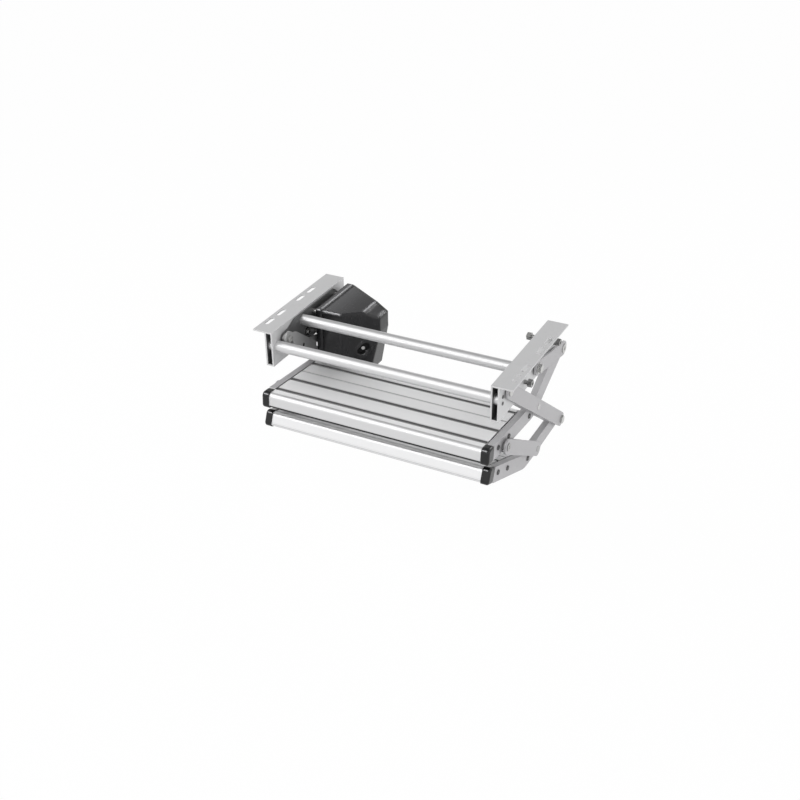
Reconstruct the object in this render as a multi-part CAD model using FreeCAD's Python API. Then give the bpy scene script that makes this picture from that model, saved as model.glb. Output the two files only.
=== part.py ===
import FreeCAD, Part
import math
import os

# Caravan entry step: a motor-driven folding double step, shown folded.
# Frame: X to the right, Y to the back, Z up. The rails' mounting faces are at Z = 0.
# All lengths are millimetres. Points written as (y, z) lie in the side view.

os.makedirs("parts", exist_ok=True)

V = FreeCAD.Vector
TO_RIGHT = V(1, 0, 0)
ORIGIN = V(0, 0, 0)

# Treads
TREAD_DEPTH = 174.0
TREAD_HALF = 220.0
TREAD_DECK = 22.0
TREAD_NOSE = 29.0
PLATE_DEPTH = 30.0
CAP_DEPTH = 23.6
CAP_INSET = 4.5
UPPER_FRONT = (-28.0, -113.05)
UPPER_PITCH = 5.0
LOWER_FRONT = (-17.5, -156.2)
LOWER_PITCH = 22.3
PORT_AT = (42.0, 91.0)
PORT_DROP = 12.0
REAR_BAR_RADIUS = 6.0
SCREW_RADIUS = 2.4

# Rails
RAIL_LENGTH = 270.0
RAIL_INNER = TREAD_HALF - 2.0
RAIL_WIDTH = 16.0
RAIL_HEIGHT = 70.0
RAIL_WALL = 3.0
RAIL_OUTER = RAIL_INNER + RAIL_WIDTH
FLANGE_WIDTH = 24.5
FLANGE_REACH = RAIL_OUTER + FLANGE_WIDTH
FLANGE_THICK = 2.6
SLOT_X = FLANGE_REACH - 10.0
SLOT_YS = (42.0, 82.0, 152.0, 192.0)
SLOT_LENGTH = 28.0
SLOT_WIDTH = 9.0

# Cross tubes
TUBE_RADIUS = 10.5
TUBE_WALL = 1.8
TUBE_WEB = 6.0
TUBE_SCREW_GAP = 6.6
TUBE_SCREW_RADIUS = 2.0
FRONT_TUBE = (16.0, -33.2)
REAR_TUBE = (104.5, -18.0)

# Layers across the width, side plates first and links outside the rails
PLATE_IN = TREAD_HALF - 2.5
PLATE_OUT = TREAD_HALF + 10.0
PLATE_SKIN = 3.0
LINK_IN = RAIL_OUTER + 2.0
LINK_OUT = LINK_IN + 4.0
LINK_HALF = 14.25
BODY_GAP = 0.3

# Pivots in the folded pose
ARM_PIVOT = (37.3, -25.5)
ARM_END = (322.3, -240.0)
ARM_MIDDLE_AT = 185.4
STAY_PIVOT = (172.2, -48.0)
STAY_END = (308.8, -73.0)
LINK_TOP = (38.3, -140.0)
LINK_BOTTOM = (194.1, -235.5)
STAY_SWING = 148.2
ARM_SWING = 90.0

# Pins
PIN_RADIUS = 6.0
PIN_HOLE = 6.05
HEAD_RADIUS = 8.5
HEX_FLATS = 15.0
STOP_SHANK = 4.0
REAR_STOP_INSET = 15.8

# Drive layers, inwards from the left rail
CRANK_REACH = 62.0
LEVER_IN = RAIL_INNER - 12.6
LEVER_OUT = LEVER_IN + 4.0
ROD_IN = LEVER_OUT + 0.4
ROD_OUT = ROD_IN + 3.0
BASE_FACE = LEVER_IN - 1.8
BASE_BACK = BASE_FACE - 13.5
COVER_ROUND = 3.0


def along(start, end, distance, side=0.0):
    """Point at a distance along a line, moved sideways to its left by side."""
    length = math.hypot(end[0] - start[0], end[1] - start[1])
    dy = (end[0] - start[0]) / length
    dz = (end[1] - start[1]) / length
    return (start[0] + dy * distance - dz * side, start[1] + dz * distance + dy * side)


def polar(start, angle, distance):
    """Point at an angle in degrees and a distance from a start point."""
    turn = math.radians(angle)
    return (start[0] + distance * math.cos(turn), start[1] + distance * math.sin(turn))


def bearing(start, end):
    """Angle in degrees from one point to another in the side view."""
    return math.degrees(math.atan2(end[1] - start[1], end[0] - start[0]))


def tilted(front, pitch, point):
    """Side-view place of a point given in a tread's own depth and height."""
    turn = math.radians(pitch)
    y = front[0] + point[0] * math.cos(turn) + point[1] * math.sin(turn)
    z = front[1] - point[0] * math.sin(turn) + point[1] * math.cos(turn)
    return (y, z)


ARM_MIDDLE = along(ARM_PIVOT, ARM_END, ARM_MIDDLE_AT)
ARM_ANGLE = bearing(ARM_PIVOT, ARM_END)
STAY_OPEN = bearing(STAY_PIVOT, STAY_END) - STAY_SWING
TREAD_REAR = tilted(UPPER_FRONT, UPPER_PITCH, (TREAD_DEPTH, 0.0))
UPPER_BAR = tilted(UPPER_FRONT, UPPER_PITCH, (TREAD_DEPTH + 19.3, -17.4))
LOWER_BAR = tilted(LOWER_FRONT, LOWER_PITCH, (TREAD_DEPTH + 29.4, -10.8))
HOUSING_FRONT = TREAD_REAR[0] - 11.8
MOTOR_SHAFT = (HOUSING_FRONT + 54.0, -60.0)
STOP_OFFSET = LINK_HALF + STOP_SHANK + BODY_GAP
REAR_STOP_AT = RAIL_LENGTH - STAY_PIVOT[0] - REAR_STOP_INSET
REAR_STOP = along(STAY_PIVOT, STAY_END, REAR_STOP_AT, STOP_OFFSET + 10.0)
FRONT_STOP = along(STAY_PIVOT, polar(STAY_PIVOT, STAY_OPEN, 100.0), 51.5, -STOP_OFFSET)
LEVER_PIN = along(ARM_PIVOT, ARM_END, CRANK_REACH)
CRANK_PIN = polar(MOTOR_SHAFT, ARM_ANGLE, CRANK_REACH)


def corner(before, point, after, radius):
    """Start, middle and end of the arc that rounds one corner of an outline."""
    a = V(before[0] - point[0], before[1] - point[1], 0)
    b = V(after[0] - point[0], after[1] - point[1], 0)
    half = a.getAngle(b) / 2.0
    reach = radius / math.tan(half)
    reach = min(reach, 0.49 * a.Length, 0.49 * b.Length)
    radius = reach * math.tan(half)
    a.normalize()
    b.normalize()
    axis = a + b
    axis.normalize()
    p = V(point[0], point[1], 0)
    centre = p + axis * (radius / math.sin(half))
    return p + a * reach, centre - axis * radius, p + b * reach


def outline(points):
    """Closed wire in the side view from (y, z) or (y, z, corner radius) points."""
    count = len(points)
    edges = []
    first = None
    last = None
    for i, point in enumerate(points):
        if len(point) == 3 and point[2] > 0:
            before = points[i - 1]
            after = points[(i + 1) % count]
            start, middle, end = corner(before, point, after, point[2])
        else:
            start = middle = end = V(point[0], point[1], 0)
        if last is None:
            first = start
        elif (start - last).Length > 1e-4:
            edges.append(Part.makeLine(last, start))
        if (end - start).Length > 1e-4:
            edges.append(Part.Arc(start, middle, end).toShape())
        last = end
    if (first - last).Length > 1e-4:
        edges.append(Part.makeLine(last, first))
    return Part.Wire(edges)


def stand_up(shape):
    """Turn a shape drawn in the XY plane into the side view, where X becomes Y and Y becomes Z."""
    shape.rotate(ORIGIN, V(1, 1, 1), 120)
    return shape


def bar(points, x0, x1):
    """Solid with a side-view outline, between two places across the width."""
    face = Part.Face(outline(points))
    solid = stand_up(face.extrude(V(0, 0, x1 - x0)))
    solid.translate(V(x0, 0, 0))
    return solid


def inset_points(points, inset):
    """Corners of an outline drawn in by a distance, with their radii changed to match."""
    count = len(points)
    area = 0.0
    for i in range(count):
        area += points[i - 1][0] * points[i][1] - points[i][0] * points[i - 1][1]
    way = 1.0 if area > 0 else -1.0
    result = []
    for i in range(count):
        before, point, after = points[i - 1], points[i], points[(i + 1) % count]
        a = V(point[0] - before[0], point[1] - before[1], 0)
        b = V(after[0] - point[0], after[1] - point[1], 0)
        a.normalize()
        b.normalize()
        turn = way * (a.x * b.y - a.y * b.x)
        inward_a = V(-a.y, a.x, 0) * way
        inward_b = V(-b.y, b.x, 0) * way
        shift = (inward_a + inward_b) * (inset / (1.0 + inward_a.dot(inward_b)))
        radius = point[2] if len(point) == 3 else 0.0
        if radius > 0:
            radius = max(0.3, radius - inset) if turn > 0 else radius + inset
        result.append((point[0] + shift.x, point[1] + shift.y, radius))
    return result


def inset_bar(points, inset, x0, x1):
    """The same as bar, with its outline drawn in by a distance."""
    return bar(inset_points(points, inset), x0, x1)


def pin(point, radius, x0, x1):
    """Cylinder across the width."""
    return Part.makeCylinder(radius, x1 - x0, V(x0, point[0], point[1]), TO_RIGHT)


def ring(point, outer, inner, x0, x1):
    """Washer or bush across the width."""
    return pin(point, outer, x0, x1).cut(pin(point, inner, x0 - 1, x1 + 1))


def hexagon(point, flats, x0, x1, turn=0.0):
    """Hexagon head across the width with a small chamfer on its outer rim."""
    reach = flats / math.sqrt(3.0)
    corners = [polar(point, turn + 60.0 * i, reach) for i in range(6)]
    head = bar(corners, x0, x1)
    cone = Part.makeCone(reach + (x1 - x0) * 1.9, reach - 1.2, x1 - x0, V(x0, point[0], point[1]), TO_RIGHT)
    return head.common(cone)


def box(x0, x1, y0, y1, z0, z1):
    """Box from its limits on each axis."""
    return Part.makeBox(x1 - x0, y1 - y0, z1 - z0, V(x0, y0, z0))


def fused(shapes):
    """One solid from shapes that touch or overlap."""
    return shapes[0].multiFuse(shapes[1:]).removeSplitter()


def mirrored(shape):
    """The left-hand copy of a right-hand shape."""
    return shape.mirror(ORIGIN, TO_RIGHT)


def both(shape):
    """A right-hand shape and its left-hand copy, as a list."""
    return [shape, mirrored(shape)]


def save(name, shape):
    """Write one node."""
    shape.exportStep("parts/" + name + ".step")


def save_pair(name, shape):
    """Write a right-hand node and its left-hand twin."""
    save("right_" + name, shape)
    save("left_" + name, mirrored(shape))


def group(shapes):
    """Separate solids in one node."""
    solids = []
    for shape in shapes:
        solids.extend(shape.Solids)
    return Part.makeCompound(solids)


def slot_cut(y):
    """Cutter for one slotted fixing hole in a rail's flange."""
    half = SLOT_LENGTH / 2.0 - SLOT_WIDTH / 2.0
    radius = SLOT_WIDTH / 2.0
    ends = [Part.makeCylinder(radius, 10, V(SLOT_X, y + side * half, -5)) for side in (-1, 1)]
    middle = box(SLOT_X - radius, SLOT_X + radius, y - half, y + half, -5, 5)
    return fused(ends + [middle])


def rail():
    """Right rail: an open box section with an outward top flange."""
    skin = RAIL_WALL
    body = box(RAIL_INNER, RAIL_OUTER, 0, RAIL_LENGTH, -RAIL_HEIGHT, 0)
    flange = box(RAIL_OUTER - 1, FLANGE_REACH, 0, RAIL_LENGTH, -FLANGE_THICK, 0)
    hollow = box(RAIL_INNER + skin, RAIL_OUTER - skin, -1, RAIL_LENGTH + 1, -RAIL_HEIGHT + skin, -skin)
    shape = fused([body, flange]).cut(hollow)
    cutters = [slot_cut(y) for y in SLOT_YS]
    cutters += [pin(tube, TUBE_RADIUS, RAIL_INNER - 1, RAIL_INNER + skin + 1) for tube in (FRONT_TUBE, REAR_TUBE)]
    cutters += [pin(point, 8.0, RAIL_INNER - 1, RAIL_OUTER + 1) for point in (ARM_PIVOT, STAY_PIVOT)]
    cutters += [pin(point, 4.0, RAIL_INNER - 1, RAIL_OUTER + 1) for point in (FRONT_STOP, REAR_STOP)]
    for tube in (FRONT_TUBE, REAR_TUBE):
        for side in (-1, 1):
            place = (tube[0], tube[1] + side * TUBE_SCREW_GAP)
            cutters.append(pin(place, TUBE_SCREW_RADIUS + 0.2, RAIL_OUTER - skin - 1, RAIL_OUTER + 1))
    return shape.cut(cutters)


def cross_tube(place):
    """Round tube between the rails with a middle web that takes the end screws."""
    end = RAIL_OUTER - RAIL_WALL
    shell = pin(place, TUBE_RADIUS, -end, end).cut(pin(place, TUBE_RADIUS - TUBE_WALL, -end - 1, end + 1))
    half = TUBE_WEB / 2.0
    core = pin(place, TUBE_RADIUS - TUBE_WALL + 0.2, -end, end)
    web = core.common(box(-end, end, place[0] - half, place[0] + half, place[1] - 20, place[1] + 20))
    shape = fused([shell, web])
    holes = []
    for side in (-1, 1):
        spot = (place[0], place[1] + side * TUBE_SCREW_GAP)
        holes += both(pin(spot, TUBE_SCREW_RADIUS, end - 24, end + 1))
    return shape.cut(holes)


def tube_screw(place):
    """Low round-headed screw through a rail's outer wall into a tube's web."""
    end = RAIL_OUTER - RAIL_WALL
    shank = pin(place, TUBE_SCREW_RADIUS - 0.05, end - 20, RAIL_OUTER + 0.5)
    head = pin(place, 3.4, RAIL_OUTER, RAIL_OUTER + 1.1)
    dimple = hexagon(place, 2.4, RAIL_OUTER + 0.3, RAIL_OUTER + 2.0)
    return fused([shank, head]).cut(dimple)


def tube_screws():
    """Two screws at each end of each cross tube."""
    screws = []
    for tube in (FRONT_TUBE, REAR_TUBE):
        for side in (-1, 1):
            screws += both(tube_screw((tube[0], tube[1] + side * TUBE_SCREW_GAP)))
    return group(screws)


def rail_bush(place):
    """Flanged bush that lines a pivot hole through both walls of a rail."""
    sleeve = ring(place, 8.0, PIN_HOLE, RAIL_INNER, RAIL_OUTER)
    collar = ring(place, 11.0, PIN_HOLE, RAIL_OUTER, LINK_IN - BODY_GAP)
    return fused([sleeve, collar])


def stay_bolt():
    """Fixed bolt that carries a stay on the rail, with a washer and a lock nut inside."""
    shank = pin(STAY_PIVOT, PIN_RADIUS, RAIL_INNER - 9.0, LINK_OUT + 1.8)
    washer = pin(STAY_PIVOT, 10.0, LINK_OUT + BODY_GAP, LINK_OUT + 1.8)
    head = hexagon(STAY_PIVOT, HEX_FLATS, LINK_OUT + 1.8, LINK_OUT + 7.0, 20.0)
    nut = hexagon(STAY_PIVOT, HEX_FLATS, RAIL_INNER - 8.0, RAIL_INNER, 10.0)
    return fused([shank, washer, head, nut])


def stop_bolt(place, inner_end, sleeve, turn):
    """Bolt through a rail in the path of the stay, with a sleeve under its head."""
    shank = pin(place, STOP_SHANK, inner_end, LINK_OUT + 9.0)
    bush = pin(place, sleeve, RAIL_OUTER, LINK_OUT + 1.4)
    head = hexagon(place, 13.0, LINK_OUT + 1.4, LINK_OUT + 10.0, turn)
    socket = hexagon(place, 6.0, LINK_OUT + 7.0, LINK_OUT + 12.0, turn)
    nut = hexagon(place, 13.0, RAIL_INNER - 6.0, RAIL_INNER, turn)
    return fused([shank, bush, head.cut(socket), nut]).cut(socket)


def long_stop_bolt(place, inner_end, sleeve, turn):
    """The same bolt carried on inwards to a second nut near its end."""
    tail = hexagon(place, 14.0, inner_end + 1.8, inner_end + 9.8, turn + 15.0)
    return fused([stop_bolt(place, inner_end, sleeve, turn), tail])


def arm():
    """Right main arm: flat web with an inward front flange in two lengths and a rear tab."""
    length = math.hypot(ARM_END[0] - ARM_PIVOT[0], ARM_END[1] - ARM_PIVOT[1])
    half = LINK_HALF
    web = [along(ARM_PIVOT, ARM_END, distance, side) + (half,)
           for distance, side in ((-half, half), (length + half, half), (length + half, -half), (-half, -half))]
    parts = [bar(web, LINK_IN, LINK_OUT)]
    for start, end in ((78.0, 146.0), (229.0, 310.0)):
        corners = [along(ARM_PIVOT, ARM_END, distance, side)
                   for distance, side in ((start, -half), (end, -half), (end, -half + 3.0), (start, -half + 3.0))]
        parts.append(bar(corners, PLATE_IN + 1.0, LINK_OUT - 1.0))
    tab = [along(ARM_PIVOT, ARM_END, distance, side)
           for distance, side in ((length - 52.0, half), (length - 10.0, half), (length - 10.0, half - 3.0),
                                  (length - 52.0, half - 3.0))]
    parts.append(bar(tab, PLATE_OUT - 4.0, LINK_OUT - 1.0))
    shape = fused(parts)
    holes = [pin(point, PIN_RADIUS, LINK_IN - 1, LINK_OUT + 1) for point in (ARM_PIVOT, ARM_MIDDLE, ARM_END)]
    return shape.cut(holes)


def arm_shaft(inner_end, collar_from, collar_to):
    """Main pivot shaft, welded to the arm and running in the rail's bush."""
    shank = pin(ARM_PIVOT, PIN_RADIUS, inner_end, LINK_OUT + 1.5)
    head = pin(ARM_PIVOT, HEAD_RADIUS, LINK_OUT, LINK_OUT + 2.5)
    clip = pin(ARM_PIVOT, 9.0, collar_from, collar_to)
    nut = hexagon(ARM_PIVOT, 12.0, inner_end - 4.5, inner_end, 15.0)
    return fused([shank, head, clip, nut])


def tube_sweep():
    """Space that the front tube takes up in the lever's own plane as the lever swings past it."""
    room = TUBE_RADIUS + 0.8
    reach = math.hypot(FRONT_TUBE[0] - ARM_PIVOT[0], FRONT_TUBE[1] - ARM_PIVOT[1])
    start = bearing(ARM_PIVOT, FRONT_TUBE)
    sector = Part.makeCylinder(reach + room, 14, ORIGIN, V(0, 0, 1), ARM_SWING)
    sector = stand_up(sector.cut(Part.makeCylinder(reach - room, 14)))
    sector.rotate(ORIGIN, TO_RIGHT, start)
    sector.translate(V(LEVER_IN - 5, ARM_PIVOT[0], ARM_PIVOT[1]))
    end = polar(ARM_PIVOT, start + ARM_SWING, reach)
    return [sector, pin(end, room, LEVER_IN - 5, LEVER_OUT + 5)]


def drive_lever():
    """Lever inside the left rail that turns the main shaft."""
    tip = 113.0
    corners = [(-12.5, 13.4, 11.5), (14.0, 14.8, 3.0), (20.5, 18.3, 4.0), (tip, 17.0, 10.0), (tip, -12.0, 10.0),
               (30.0, -13.0, 12.0), (12.0, -11.0, 6.0), (-11.0, -11.0, 10.0)]
    points = [along(ARM_PIVOT, ARM_END, distance, side) + (radius,) for distance, side, radius in corners]
    plate = bar(points, LEVER_IN, LEVER_OUT)
    holes = [pin(ARM_PIVOT, PIN_RADIUS, LEVER_IN - 5, LEVER_OUT + 5), pin(LEVER_PIN, 4.0, LEVER_IN - 5, LEVER_OUT + 5)]
    return mirrored(plate.cut(holes + tube_sweep()))


def lever_pin():
    """Pin fixed in the lever that the drive rod turns on."""
    shank = pin(LEVER_PIN, 4.0, LEVER_IN, ROD_OUT + 0.3)
    head = pin(LEVER_PIN, 6.0, ROD_OUT + 0.3, ROD_OUT + 1.3)
    return mirrored(fused([shank, head]))


def arm_pin(place):
    """Pin riveted in the arm, running through a step's side plate."""
    shank = pin(place, PIN_RADIUS, PLATE_OUT - 6.4, LINK_OUT + 0.6)
    head = pin(place, PIN_RADIUS + 1.2, PLATE_OUT - 6.4, PLATE_OUT - PLATE_SKIN - BODY_GAP)
    collar = pin(place, 9.0, PLATE_OUT + BODY_GAP, LINK_IN)
    return fused([shank, head, collar])


def arm_pins():
    """Middle pins and end pins of both arms, with hexagon heads on the end pins."""
    middle = arm_pin(ARM_MIDDLE)
    end = fused([arm_pin(ARM_END), hexagon(ARM_END, HEX_FLATS, LINK_OUT, LINK_OUT + 4.5, 12.0)])
    return group(both(middle) + both(end))


def flat_link(start, end, start_hole, end_hole, tabs):
    """Flat bar with round ends, pivot holes and optional inward edge tabs."""
    length = math.hypot(end[0] - start[0], end[1] - start[1])
    half = LINK_HALF
    corners = [along(start, end, distance, side) + (half,)
               for distance, side in ((-half, half), (length + half, half), (length + half, -half), (-half, -half))]
    parts = [bar(corners, LINK_IN, LINK_OUT)]
    for low, high in tabs:
        edge = [along(start, end, distance, side)
                for distance, side in ((low, half), (high, half), (high, half - 3.0), (low, half - 3.0))]
        parts.append(bar(edge, PLATE_OUT + 2.5, LINK_OUT - 1.0))
    shape = fused(parts)
    return shape.cut([pin(start, start_hole, LINK_IN - 1, LINK_OUT + 1),
                      pin(end, end_hole, LINK_IN - 1, LINK_OUT + 1)])


def short_pin(place, turn):
    """Pin fixed in a link that ends just short of the side plate it meets."""
    shank = pin(place, PIN_RADIUS, PLATE_OUT + BODY_GAP, LINK_OUT + 1.0)
    collar = pin(place, 9.0, PLATE_OUT + BODY_GAP, LINK_IN)
    head = pin(place, 9.6, LINK_OUT, LINK_OUT + 1.8)
    socket = hexagon(place, 7.0, LINK_OUT + 0.3, LINK_OUT + 3.0, turn)
    return fused([shank, collar, head]).cut(socket)


def rivet_pin(place):
    """Flush rivet fixed in a link that ends just short of the side plate it meets."""
    shank = pin(place, PIN_RADIUS, PLATE_OUT + BODY_GAP, LINK_OUT + 0.6)
    collar = pin(place, 9.0, PLATE_OUT + BODY_GAP, LINK_IN)
    return fused([shank, collar])


def step_pin(place):
    """Pin fixed in the upper step's side plate that the lower link turns on."""
    shank = pin(place, PIN_RADIUS, PLATE_OUT - PLATE_SKIN, LINK_OUT + 1.0)
    root = pin(place, 8.0, PLATE_OUT, LINK_IN - BODY_GAP)
    head = pin(place, 7.6, LINK_OUT + BODY_GAP, LINK_OUT + 1.5)
    socket = pin(place, 3.0, LINK_OUT + 0.9, LINK_OUT + 3.0)
    return fused([shank, root, head]).cut(socket)


def tread():
    """Hollow tread section in its own depth and height, nose at the front."""
    body = [(4.0, -TREAD_NOSE, 2.0), (0.0, -TREAD_NOSE + 2.0, 2.0), (0.0, 0.0, 9.0), (TREAD_DEPTH, 0.0, 1.0),
            (TREAD_DEPTH, -TREAD_DECK, 1.0), (27.0, -TREAD_DECK, 1.5), (23.0, -TREAD_NOSE, 2.0)]
    shape = bar(body, -TREAD_HALF, TREAD_HALF)
    chambers = [[(2.4, -25.6, 1.0), (2.4, -2.4, 7.0), (22.0, -2.4, 1.0), (22.0, -25.6, 1.0)]]
    for low, high in ((30.0, 40.6), (43.4, 72.0), (80.0, 89.6), (92.4, 153.0), (162.0, 171.6)):
        chambers.append([(low, -TREAD_DECK + 2.2), (low, -2.4), (high, -2.4), (high, -TREAD_DECK + 2.2)])
    ports = [pin((at, -PORT_DROP), 4.6, -TREAD_HALF, TREAD_HALF) for at in PORT_AT]
    hollow = [bar(points, -TREAD_HALF - 1, TREAD_HALF + 1) for points in chambers]
    shape = fused([shape.cut(hollow)] + ports)
    grooves = []
    for low, high, deep in ((22.9, 29.1, 3.0), (72.9, 79.1, 3.0), (116.3, 119.3, 1.2), (154.4, 160.6, 3.0)):
        grooves.append(box(-300, 300, low, high, -deep, 1))
    grooves += both(box(PLATE_IN - 3.2, 300, CAP_DEPTH, TREAD_DEPTH + 5, -3.0, 1))
    holes = [pin((at, -PORT_DROP), SCREW_RADIUS - 0.05, -300, 300) for at in PORT_AT]
    sides = both(box(PLATE_IN, 300, CAP_DEPTH, TREAD_DEPTH + 5, -40, 5))
    sides += both(box(TREAD_HALF - CAP_INSET, 300, -5, CAP_DEPTH, -40, 5))
    return shape.cut(grooves + holes + sides)


def place_tread(shape, front, pitch):
    """Move a tread from its own depth and height to its place in the frame."""
    shape.rotate(ORIGIN, V(1, 0, 0), -pitch)
    shape.translate(V(0, front[0], front[1]))
    return shape


def end_cap():
    """Right end cap of a tread's nose, in the tread's own depth and height."""
    inner = TREAD_HALF - CAP_INSET
    reach = PLATE_OUT + 0.8
    outer = [(-1.4, 1.4, 9.0), (CAP_DEPTH, 1.4, 5.4), (CAP_DEPTH, -31.0, 5.4), (-1.4, -31.0, 7.0)]
    cap = bar(outer, inner, reach)
    edges = [edge for edge in cap.Edges if all(abs(vertex.X - reach) < 0.01 for vertex in edge.Vertexes)]
    cap = cap.makeFillet(4.8, edges)
    plug = bar([(6.0, -22.0), (6.0, -8.0), (18.0, -8.0), (18.0, -22.0)], inner - 12, inner + 1)
    return fused([cap, plug])


def side_plate(points, holes):
    """Right side plate of a step: a pressed tray that is open towards the inside."""
    shape = bar(points, PLATE_IN, PLATE_OUT)
    shape = shape.cut(inset_bar(points, 2.5, PLATE_IN - 1, PLATE_OUT - PLATE_SKIN))
    cutters = [pin(place, radius, PLATE_OUT - PLATE_SKIN - 1, PLATE_OUT + 1) for place, radius in holes]
    return shape.cut(cutters)


def screw_places(front, pitch, rear_bar):
    """Side-view places of the screws through one side plate."""
    return [tilted(front, pitch, (at, -PORT_DROP)) for at in PORT_AT] + [rear_bar]


def upper_plate():
    """Right side plate of the upper step with its raised rear tail."""
    front_top = tilted(UPPER_FRONT, UPPER_PITCH, (CAP_DEPTH + 0.4, 0.0))
    front_low = tilted(UPPER_FRONT, UPPER_PITCH, (CAP_DEPTH + 0.4, -PLATE_DEPTH))
    points = [front_top + (2.0,), (181.7, -131.4, 90.0), (303.0, -61.0, 12.0), (324.0, -66.0, 9.0),
              (320.5, -100.8, 6.0), (191.6, -162.3, 90.0), front_low + (3.0,)]
    holes = [(ARM_MIDDLE, PIN_HOLE), (LINK_TOP, PIN_RADIUS)]
    holes += [(place, SCREW_RADIUS) for place in screw_places(UPPER_FRONT, UPPER_PITCH, UPPER_BAR)]
    return side_plate(points, holes)


def lower_plate():
    """Right side plate of the lower step with its level rear tail."""
    front_top = tilted(LOWER_FRONT, LOWER_PITCH, (CAP_DEPTH + 0.4, 0.0))
    front_low = tilted(LOWER_FRONT, LOWER_PITCH, (CAP_DEPTH + 0.4, -PLATE_DEPTH))
    points = [front_top + (2.0,), (158.6, -228.4, 60.0), (335.6, -226.3, 13.5), (336.4, -253.8, 13.5),
              (206.0, -258.2, 0.0), (150.5, -257.6, 70.0), front_low + (3.0,)]
    holes = [(ARM_END, PIN_HOLE)]
    holes += [(place, SCREW_RADIUS) for place in screw_places(LOWER_FRONT, LOWER_PITCH, LOWER_BAR)]
    return side_plate(points, holes)


def step_screw(place):
    """Round-headed screw through a side plate."""
    shank = pin(place, SCREW_RADIUS - 0.05, PLATE_IN - 20, PLATE_OUT + 1)
    head = pin(place, 5.0, PLATE_OUT, PLATE_OUT + 1.8)
    recess = ring(place, 3.9, 2.1, PLATE_OUT + 0.6, PLATE_OUT + 3.0)
    return fused([shank, head]).cut(recess)


def step_screws(front, pitch, rear_bar):
    """All screws through both side plates of one step."""
    screws = []
    for place in screw_places(front, pitch, rear_bar):
        screws += both(step_screw(place))
    return group(screws)


def rear_bar(place):
    """Round bar across the rear of a step, tapped at both ends."""
    end = PLATE_OUT - PLATE_SKIN
    shape = pin(place, REAR_BAR_RADIUS, -end, end)
    return shape.cut(both(pin(place, SCREW_RADIUS - 0.05, PLATE_IN - 21, end + 1)))


def motor_plate():
    """Black fixing plate on the left rail's inner face."""
    low = RAIL_INNER - 15.0
    high = RAIL_INNER + 15.0
    nose = 9.6
    front, level = ARM_PIVOT
    rear = HOUSING_FRONT + 110.0
    points = [(front - nose, level + nose, nose - 0.1), (front + 17.0, level + nose + 2.6, 20.0), (REAR_TUBE[0] - 28.0, -3.6, 6.0),
              (rear - 20.0, -3.6, 4.0), (rear, -20.0, 4.0), (rear, -68.0, 3.0), (REAR_TUBE[0] - 10.5, -68.0, 3.0),
              (front + 20.0, level - nose, 8.0), (front - nose, level - nose, nose - 0.1)]
    plate = bar(points, RAIL_INNER - 3.0, RAIL_INNER)
    cutters = [pin(REAR_TUBE, TUBE_RADIUS + 0.2, low, high), hexagon(STAY_PIVOT, HEX_FLATS + 3, low, high, 10.0)]
    cutters.append(pin(ARM_PIVOT, PIN_RADIUS + BODY_GAP, low, high))
    cutters += [hexagon(FRONT_STOP, 16.0, low, high), hexagon(REAR_STOP, 16.0, low, high)]
    return mirrored(plate.cut(cutters))


SPACER_PLACES = ((9.0, -17.0), (12.0, -60.0), (90.0, -17.0), (86.0, -50.0))


def motor_spacers():
    """Spacer sleeves between the fixing plate and the motor housing."""
    sleeves = [pin((HOUSING_FRONT + y, z), 5.0, BASE_FACE, RAIL_INNER - 3.0) for y, z in SPACER_PLACES]
    return group([mirrored(sleeve) for sleeve in sleeves])


HOUSING_SIDE = ((0.0, -6.0), (129.0, -6.0), (129.0, -128.0), (116.0, -140.0), (30.0, -140.0), (0.0, -114.0))


def housing_base():
    """Flat base of the motor housing with the shaft hole."""
    points = [(HOUSING_FRONT + y, z, 3.0) for y, z in HOUSING_SIDE]
    shape = bar(points, BASE_BACK, BASE_FACE)
    edges = [edge for edge in shape.Edges if all(abs(v.X - BASE_BACK) < 0.01 for v in edge.Vertexes)]
    shape = shape.makeFillet(1.5, edges)
    recess = inset_bar([(HOUSING_FRONT + y, z) for y, z in HOUSING_SIDE], 10.0, BASE_BACK - 1, BASE_FACE - 4.0)
    return mirrored(shape.cut([recess, pin(MOTOR_SHAFT, 7.05, BASE_BACK - 1, BASE_FACE + 1)]))


def slope(a, b, toward):
    """Large cutter behind a plane along Y through two (x, z) places, on the side of a third."""
    ab = V(b[0] - a[0], 0, b[1] - a[1])
    ab.normalize()
    out = V(-ab.z, 0, ab.x)
    if out.dot(V(toward[0] - a[0], 0, toward[1] - a[1])) < 0:
        out = out * -1
    p = V(a[0], -400, a[1])
    corners = [p - ab * 400, p + ab * 400, p + ab * 400 + out * 400, p - ab * 400 + out * 400]
    return Part.Face(Part.makePolygon(corners + corners[:1])).extrude(V(0, 1200, 0))


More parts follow.
